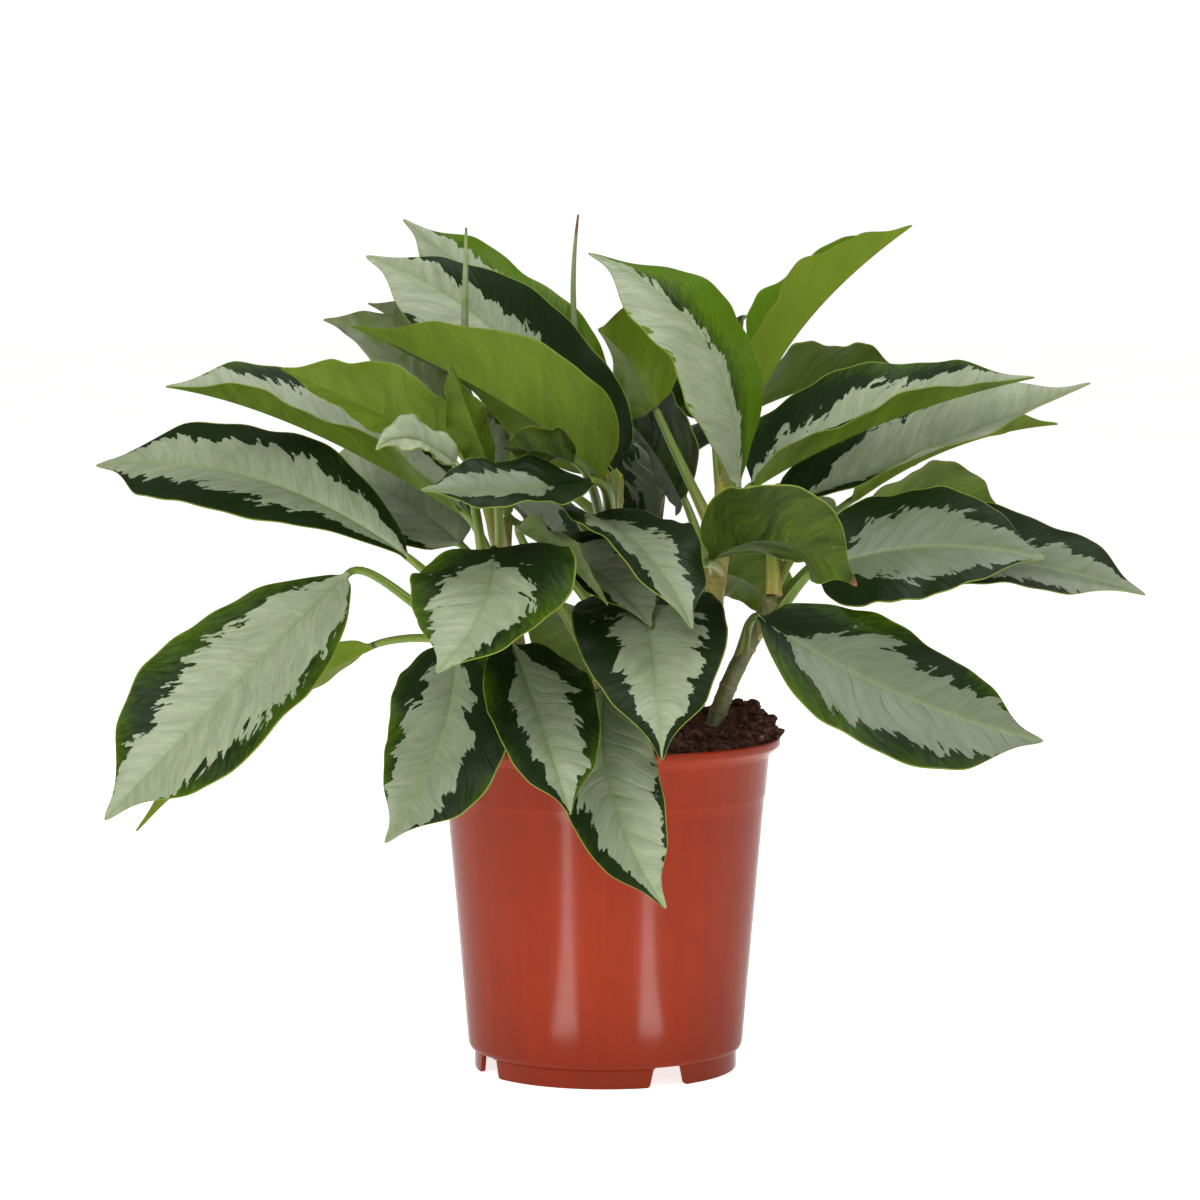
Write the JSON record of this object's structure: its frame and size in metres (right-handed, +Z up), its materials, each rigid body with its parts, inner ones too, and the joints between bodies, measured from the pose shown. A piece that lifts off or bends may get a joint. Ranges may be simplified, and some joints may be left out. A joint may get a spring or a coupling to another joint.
{
  "type": "potted chinese evergreen",
  "caption": "Chinese evergreen house plant with silver and green leaves on short canes, in a round plastic nursery pot filled with soil.",
  "frame": {"origin": "on the surface that the pot stands on, on the axis of the pot, which is also the middle of the bounding box", "axes": "+Z up, +X to the right and +Y away from the viewer, seen from the front"},
  "size_m": [0.5766, 0.3706, 0.4681],
  "materials": {
    "pot": "satin",
    "soil": "matte",
    "cane": "satin",
    "leaf": "satin"
  },
  "bodies": {
    "root": {"pot": "pot", "cane_front": "cane", "leaf_front_1": "leaf", "leaf_front_2": "leaf", "leaf_front_3": "leaf", "leaf_front_4": "leaf", "leaf_front_5": "leaf", "cane_left": "cane", "leaf_left_1": "leaf", "leaf_left_2": "leaf", "leaf_left_3": "leaf", "leaf_left_4": "leaf", "leaf_left_5": "leaf", "leaf_left_6": "leaf", "leaf_left_7": "leaf", "leaf_left_8": "leaf", "cane_left_back": "cane", "leaf_left_back_1": "leaf", "leaf_left_back_2": "leaf", "leaf_left_back_3": "leaf", "leaf_left_back_4": "leaf", "leaf_left_back_5": "leaf", "leaf_left_back_6": "leaf", "cane_centre": "cane", "leaf_centre_1": "leaf", "leaf_centre_2": "leaf", "leaf_centre_3": "leaf", "leaf_centre_4": "leaf", "leaf_centre_5": "leaf", "leaf_centre_6": "leaf", "leaf_centre_7": "leaf", "leaf_centre_8": "leaf", "cane_middle": "cane", "leaf_middle_1": "leaf", "leaf_middle_2": "leaf", "leaf_middle_3": "leaf", "leaf_middle_4": "leaf", "leaf_middle_5": "leaf", "leaf_middle_6": "leaf", "leaf_middle_7": "leaf", "leaf_middle_8": "leaf", "leaf_middle_9": "leaf", "cane_right": "cane", "leaf_right_1": "leaf", "leaf_right_2": "leaf", "leaf_right_3": "leaf", "leaf_right_4": "leaf", "leaf_right_5": "leaf", "leaf_right_6": "leaf", "cane_back": "cane", "leaf_back_1": "leaf", "leaf_back_2": "leaf", "leaf_back_3": "leaf", "leaf_back_4": "leaf", "soil": "soil"}
  },
  "joints": []
}
